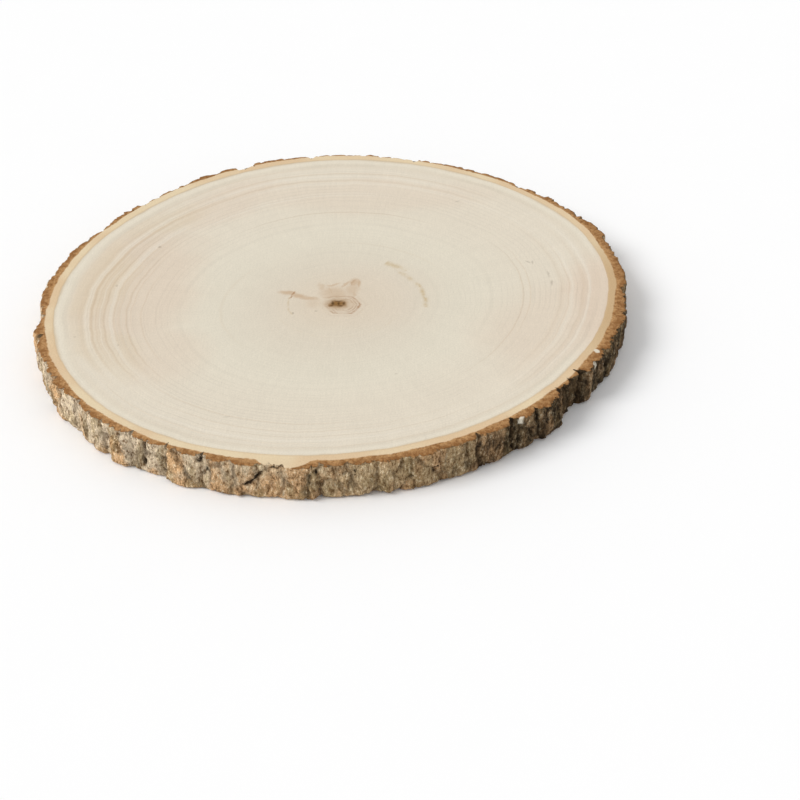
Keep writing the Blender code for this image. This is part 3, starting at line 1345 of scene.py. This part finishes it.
@dataclass
class BarkRing:
    """The bark all round the slice: sawn above and below, rough and fissured on its outside."""

    trunk: Trunk
    finish: BarkFinish = field(default_factory=BarkFinish)
    fissures: tuple[tuple[float, float, float], ...] = (
        (-176, 1.2, 0.2), (-168, 3.5, 0.4), (-162, 3.0, 0.6), (-154, 1.5, 0.3), (-147, 3.5, 0.5),
        (-138, 3.0, 0.4), (-129, 3.5, 0.1), (-123.6, 4.0, 0.4), (-117, 3.2, 0.4), (-110, 4.8, 0.2),
        (-104, 1.5, 0.1), (-98, 5.0, 0.1), (-90, 4.8, 0.4), (-85, 2.0, 0.4), (-80, 4.0, 0.2),
        (-74, 1.5, 0.1), (-69, 4.0, 0.4), (-62, 4.4, 0.9), (-54, 3.6, 1.0), (-48, 3.0, 0.8),
        (-41, 4.0, 0.8), (-33, 4.0, 0.6), (-24, 4.2, 0.7), (-17, 1.5, 0.4), (-10, 4.0, 0.6),
        (-1, 4.0, 0.4), (12, 4.5, 0.4), (18, 3.5, 0.3), (28, 4.0, 0.4), (35, 4.0, 0.3),
        (47, 3.5, 0.4), (55, 1.2, 0.1), (62, 3.2, 0.3), (73, 4.2, 0.4), (82, 4.2, 0.3),
        (97, 4.2, 0.4), (108, 3.2, 0.3), (120, 3.5, 0.4), (128, 2.5, 0.2), (136, 4.0, 0.3),
        (145, 4.5, 0.4), (156, 4.0, 0.4), (168, 3.2, 0.3), (175, 1.5, 0.1),
    )
    cracks: tuple[Crack, ...] = (
        Crack(-161.8, 17.0, -161.2, 22.0, 3.0, 1.2),
        Crack(-134.0, 1.0, -131.2, 9.0, 1.2, 0.5),
        Crack(-126.6, 14.0, -126.9, 17.0, 1.4, 0.5),
        Crack(-121.2, 4.0, -120.6, 19.0, 3.4, 1.5),
        Crack(-116.9, 7.0, -116.7, 18.0, 2.0, 0.9),
        Crack(-113.6, 12.0, -112.8, 18.5, 1.0, 0.3),
        Crack(-110.5, 16.5, -110.1, 22.0, 2.8, 2.0),
        Crack(-109.6, 8.5, -108.9, 13.5, 1.5, 0.7),
        Crack(-102.6, 7.0, -99.2, 16.5, 2.6, 1.3),
        Crack(-102.6, 7.0, -102.8, -1.0, 1.2, 0.4),
        Crack(-98.6, 17.0, -96.0, 19.8, 1.8, 0.9),
        Crack(-90.4, 15.5, -90.2, 22.0, 2.4, 1.0),
        Crack(-84.6, 14.5, -84.2, 22.0, 2.0, 0.8),
        Crack(-70.6, 7.5, -70.3, 11.0, 2.0, 1.0),
        Crack(-66.6, 1.0, -66.2, 14.0, 1.4, 0.5),
        Crack(-52.6, 1.0, -51.8, 16.0, 2.4, 1.0),
        Crack(-46.0, 4.0, -44.6, 19.0, 2.2, 1.0),
        Crack(-29.5, 0.0, -27.5, 17.0, 2.6, 1.1),
        Crack(-22.5, 17.5, -19.0, 19.5, 1.6, 0.8),
    )
    small_cracks: int = 80
    line_steps: int = 12
    seed: int = 7
    columns: int = 1560
    top_rows: int = 15
    side_rows: int = 36
    under_rows: int = 8
    inner_rows: int = 2
    lost_angle: float = -37.0
    lost_width: float = 11 * MM
    lost_depth: float = 3.6 * MM
    lost_edge: Grain = Grain(4 * MM, 56, 3)
    lost_edge_reach: float = 4 * MM
    crack_drift: tuple[Drift, ...] = (Drift(8 * MM, 2.4 * MM, 51), Drift(2.4 * MM, 1.0 * MM, 58))
    crack_edge: Grain = Grain(2.5 * MM, 60, 3)
    groove_width: float = 2.5 * MM
    valley_width: float = 3.2 * MM
    plate_drift: tuple[Drift, ...] = (Drift(9 * MM, 3.2 * MM, 59), Drift(2.5 * MM, 0.8 * MM, 62))
    plate_size: float = 11 * MM
    plate_height: float = 1.8 * MM
    long_plate_size: float = 24 * MM
    long_plate_height: float = 3.6 * MM
    swells: Grain = Grain(20 * MM, 52)
    swell_height: float = 6.0 * MM
    lumps: Grain = Grain(6 * MM, 53, 5, 0.75)
    lump_height: float = 4.6 * MM
    granules: Grain = Grain(1.8 * MM, 54)
    granule_height: float = 1.5 * MM
    sawn_texture: Grain = Grain(2.2 * MM, 57)
    sawn_texture_height: float = 0.14 * MM
    thinnest: float = 2.5 * MM
    merge: float = 0.01 * MM

    def crack_line(self, rng: random.Random, crack: Crack) -> list[Vector]:
        """Draws one crack on the smooth outline.

        Args:
            rng: The source of its wander.
            crack: Where it runs.

        Returns:
            Its points, from its start to its end.
        """
        bend = rng.uniform(-0.9, 0.9) * MM
        phase = rng.uniform(0.0, math.tau)
        centre_x, centre_y = self.trunk.middle()
        points = []
        for step in range(self.line_steps):
            share = step / (self.line_steps - 1)
            aside = bend * math.sin(phase + 5.0 * share) / self.trunk.mean_radius
            turn = math.radians(crack.angle + (crack.end_angle - crack.angle) * share) + aside
            radius = self.trunk.radius(turn)
            height = self.trunk.low.z + (crack.low + (crack.high - crack.low) * share) * MM
            x = centre_x + radius * math.cos(turn)
            y = centre_y + radius * math.sin(turn)
            points.append(Vector((x, y, height)))
        return points

    def all_cracks(self, rng: random.Random) -> list[Crack]:
        """Lists the given cracks, the fissures and the small cracks strewn over the bark.

        Args:
            rng: The source of the fissures' lean and of the small cracks.

        Returns:
            The cracks.
        """
        tall = (self.trunk.high.z - self.trunk.low.z) / MM
        beyond = 2.0
        cracks = list(self.cracks)
        for angle, depth, openness in self.fissures:
            lean = rng.uniform(-0.7, 0.7)
            cracks.append(Crack(angle + lean, -beyond, angle, tall + beyond, depth, openness))
        for _ in range(self.small_cracks):
            angle = rng.uniform(-180, 180)
            low = rng.uniform(-beyond, tall)
            high = low + rng.uniform(2, 8)
            depth = rng.uniform(0.6, 1.8)
            end_angle = angle + rng.uniform(-1.8, 1.8)
            openness = rng.uniform(0.0, 0.7)
            cracks.append(Crack(angle, low, end_angle, high, depth, openness))
        return cracks

    def guide(self) -> bpy.types.Mesh:
        """Draws every crack as a line of points that carry its depth and its openness.

        Returns:
            The lines as one mesh of edges.
        """
        rng = random.Random(self.seed)
        points, edges, depths, openness = [], [], [], []
        for crack in self.all_cracks(rng):
            first = len(points)
            line = self.crack_line(rng, crack)
            points += line
            edges += [(first + i, first + i + 1) for i in range(len(line) - 1)]
            depths += [crack.depth * MM * rng.uniform(0.7, 1.05) for _ in line]
            openness += [crack.openness * rng.uniform(0.55, 1.2) for _ in line]
        mesh = bpy.data.meshes.new("crack_lines")
        mesh.from_pydata(points, edges, [])
        for mark, values in ((Mark.DEPTH, depths), (Mark.OPENNESS, openness)):
            mesh.attributes.new(mark.value, "FLOAT", "POINT").data.foreach_set("value", values)
        return mesh

    def cracking(self, tree: ShapeTree, around: Input) -> tuple[Field, Field, Field]:
        """Works out what the nearest crack does to the bark.

        Args:
            tree: The bark's tree.
            around: The place on the smooth outline.

        Returns:
            How deep its groove is there, how far the place is in its core, and how far in its valley.
        """
        wander = tree.drift(around, self.crack_drift)
        away, depth, openness = tree.nearest(wander, Mark.DEPTH, Mark.OPENNESS)
        ragged = tree.noise(around, self.crack_edge).step(0.36, 0.64, 0.5, 1.2)
        core = away.bell((openness * 0.60 * MM + 0.2 * MM) * ragged)
        crack = core * (openness * 1.3).at_most(1.0)
        sunk = (openness * 0.30 + 0.30).at_most(0.55)
        groove = depth * sunk * away.bell(self.groove_width) + crack * (depth * 0.22 + 0.4 * MM)
        near = away.step(0.0, self.valley_width, 1.0, 0.0)
        valley = (openness + 0.2).at_most(1.0) * (depth * 300.0).at_most(1.0) * near
        return groove, crack, valley

    def relief(self, tree: ShapeTree, angle: Field, around: Input) -> dict[Mark, Field]:
        """Works out how far the bark's outside stands in or out of the trunk's outline.

        Args:
            tree: The bark's tree.
            angle: The angle round the slice.
            around: The place on the smooth outline.

        Returns:
            The height in or out, and how much of a crack, a valley and a plate there is, by name.
        """
        groove, crack, valley = self.cracking(tree, around)
        warped = tree.drift(around, self.plate_drift)
        plate, border = tree.plates(tree.stretched(warped, 0.38), self.plate_size)
        long_plate, _ = tree.plates(tree.stretched(warped, 0.2), self.long_plate_size)
        behind = tree.math("SINE", angle + 0.35).step(-0.1, 0.5)
        raised = (plate - 0.5) * self.plate_height + border.step(0.0, 0.12, -0.6 * MM, 0.2 * MM)
        raised = raised + (long_plate - 0.5) * behind * self.long_plate_height
        calm = 1.0 - behind * 0.55
        broad = tree.swing(tree.stretched(around, 0.0), self.swells, self.swell_height)
        tall = tree.stretched(around, 0.6)
        rough = tree.swing(tall, self.lumps, self.lump_height)
        rough = rough + tree.swing(tall, self.granules, self.granule_height)
        lost = self.trunk.aside(tree, angle, self.lost_angle).magnitude() * self.trunk.mean_radius
        torn = lost + tree.swing(tall, self.lost_edge, self.lost_edge_reach)
        gone = torn.step(self.lost_width - 1.0 * MM, self.lost_width, self.lost_depth, 0.0)
        return {
            Mark.RELIEF: broad + raised + rough * calm - groove - gone,
            Mark.CRACK: crack,
            Mark.VALLEY: valley,
            Mark.PLATE: plate,
            Mark.BORDER: border,
        }

    def build(self) -> bpy.types.Object:
        """Grows the bark and dresses it.

        Returns:
            The finished piece.
        """
        tree = ShapeTree("bark_ring", self.guide())
        columns = tree.size("Columns", self.columns)
        top_rows = tree.size("Top Rows", self.top_rows)
        side_rows = tree.size("Side Rows", self.side_rows)
        under_rows = tree.size("Under Rows", self.under_rows)
        inner_rows = tree.size("Inner Rows", self.inner_rows)
        top = tree.size("Top", self.trunk.high.z)
        bottom = tree.size("Bottom", self.trunk.low.z)
        thinnest = tree.size("Thinnest Bark", self.thinnest)

        grid, angle, row = tree.grid(columns, top_rows + side_rows + under_rows + inner_rows)
        side_end = top_rows + side_rows
        out = row.share(0.0, top_rows)
        down = row.share(top_rows, side_end)
        back = row.share(side_end, side_end + under_rows)
        up = row.share(side_end + under_rows, side_end + under_rows + inner_rows)
        height = (top - bottom) * (1.0 - down + up) + bottom

        cosine, sine = tree.math("COSINE", angle), tree.math("SINE", angle)
        centre_x, centre_y = self.trunk.middle()
        outline = self.trunk.outline(tree, angle)
        cambium = self.trunk.cambium(tree, angle)
        around = tree.vector(cosine * outline + centre_x, sine * outline + centre_y, height)
        looks = self.relief(tree, angle, around)
        worn = down.share(0.90, 1.0) ** 2.0 * 1.1 * MM + (1.0 - down.share(0.0, 0.06)) ** 2.0 * 0.3 * MM
        outer = (outline + looks[Mark.RELIEF] - worn).at_least(cambium + thinnest)
        across = out * (1.0 - back)
        inward = (outer - cambium) * across
        radius = cambium + inward

        rub = (across.step(0.86, 1.0) ** 2.0) * 0.4 * MM
        texture = tree.noise(around, self.sawn_texture) * self.sawn_texture_height * across
        facing = 1.0 - down * 2.0
        raised = height - (rub + texture) * facing * (1.0 - up)

        sawn = (row - top_rows).share(-0.01, 0.01)
        sawn = 1.0 - sawn + (row - side_end).share(-0.01, 0.01)
        marked = tree.store(grid, Mark.INWARD, inward)
        marked = tree.store(marked, Mark.MARGIN, outer - cambium - inward)
        for mark, value in looks.items():
            marked = tree.store(marked, mark, value)
        marked = tree.store(marked, Mark.SAWN, sawn, domain="FACE")
        position = tree.vector(cosine * radius + centre_x, sine * radius + centre_y, raised)
        piece = tree.finish(marked, position, self.merge, self.finish.material())
        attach(piece, BODY)
        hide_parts(CAD_NODE)
        return piece


# ---- The studio ----


@dataclass
class Studio:
    """A pale floor, soft light and the camera."""

    low: Vector
    high: Vector
    floor_side: float = 12.0
    gap: float = 0.05 * MM
    floor_colour: Colour = colour(251, 251, 251)
    floor_grain: Grain = Grain(40 * MM, 61)
    floor_contrast: float = 0.01
    floor_roughness: float = 0.9
    floor_specular: float = 0.1
    sky: float = 0.66
    key_strength: float = 1.75
    key_azimuth: float = -163.0
    key_elevation: float = 42.0
    key_spread: float = 32.0
    camera_aside: float = 34.6 * MM
    camera_back: float = 701.7 * MM
    camera_rise: float = 423.8 * MM
    camera_pitch: float = 35.5
    lens: float = 67.2
    sensor: float = 36.0
    nearest: float = 0.01
    farthest: float = 50.0

    def floor(self) -> bpy.types.Object:
        """Lays the floor just under the slice.

        Returns:
            The floor.
        """
        level = self.low.z - self.gap
        bpy.ops.mesh.primitive_plane_add(size=self.floor_side, location=(0.0, 0.0, level))
        floor = bpy.context.object
        floor.name = "floor"
        finish = Finish("floor_paint")
        grain = finish.swing(finish.place, self.floor_grain, self.floor_contrast)
        shade = finish.scaled(self.floor_colour[:3], 1.0 + grain)
        finish.feed(finish.shader.inputs["Base Color"], shade)
        finish.feed(finish.shader.inputs["Roughness"], self.floor_roughness)
        finish.feed(finish.shader.inputs["Specular IOR Level"], self.floor_specular)
        floor.data.materials.append(finish.material)
        return floor

    def light(self) -> None:
        """Sets the even light from all round, and the broad key light from the left."""
        world = bpy.data.worlds.new("studio")
        world.use_nodes = True
        background = world.node_tree.nodes["Background"]
        background.inputs["Color"].default_value = (1.0, 1.0, 1.0, 1.0)
        background.inputs["Strength"].default_value = self.sky
        bpy.context.scene.world = world
        data = bpy.data.lights.new("key_light", "SUN")
        data.energy = self.key_strength
        data.angle = math.radians(self.key_spread)
        holder = bpy.data.objects.new("key_light", data)
        turn = math.radians(self.key_azimuth)
        rise = math.radians(self.key_elevation)
        toward = Vector((math.cos(turn) * math.cos(rise), math.sin(turn) * math.cos(rise), math.sin(rise)))
        holder.rotation_euler = toward.to_track_quat("Z", "Y").to_euler()
        bpy.context.scene.collection.objects.link(holder)

    def camera(self) -> bpy.types.Object:
        """Stands the camera in front of the slice, looking down on it.

        Returns:
            The camera.
        """
        data = bpy.data.cameras.new("camera")
        data.lens = self.lens
        data.sensor_width = self.sensor
        data.clip_start = self.nearest
        data.clip_end = self.farthest
        holder = bpy.data.objects.new("camera", data)
        centre = (self.low + self.high) / 2
        holder.location = (
            centre.x + self.camera_aside,
            centre.y - self.camera_back,
            self.high.z + self.camera_rise,
        )
        holder.rotation_euler = (math.radians(90 - self.camera_pitch), 0.0, 0.0)
        bpy.context.scene.collection.objects.link(holder)
        bpy.context.scene.camera = holder
        bpy.context.scene.view_settings.view_transform = "Standard"
        return holder


def main() -> None:
    """Builds the slice and the studio."""
    logging.basicConfig(level=logging.INFO, format="%(message)s")
    low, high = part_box(CAD_NODE)
    trunk = Trunk(low, high)
    for part in (SawnWood(trunk), BarkRing(trunk)):
        piece = part.build()
        LOG.info("%s: %d points, %d faces", piece.name, len(piece.data.vertices), len(piece.data.polygons))
    studio = Studio(low, high)
    studio.floor()
    studio.light()
    studio.camera()


if __name__ == "__main__":
    main()
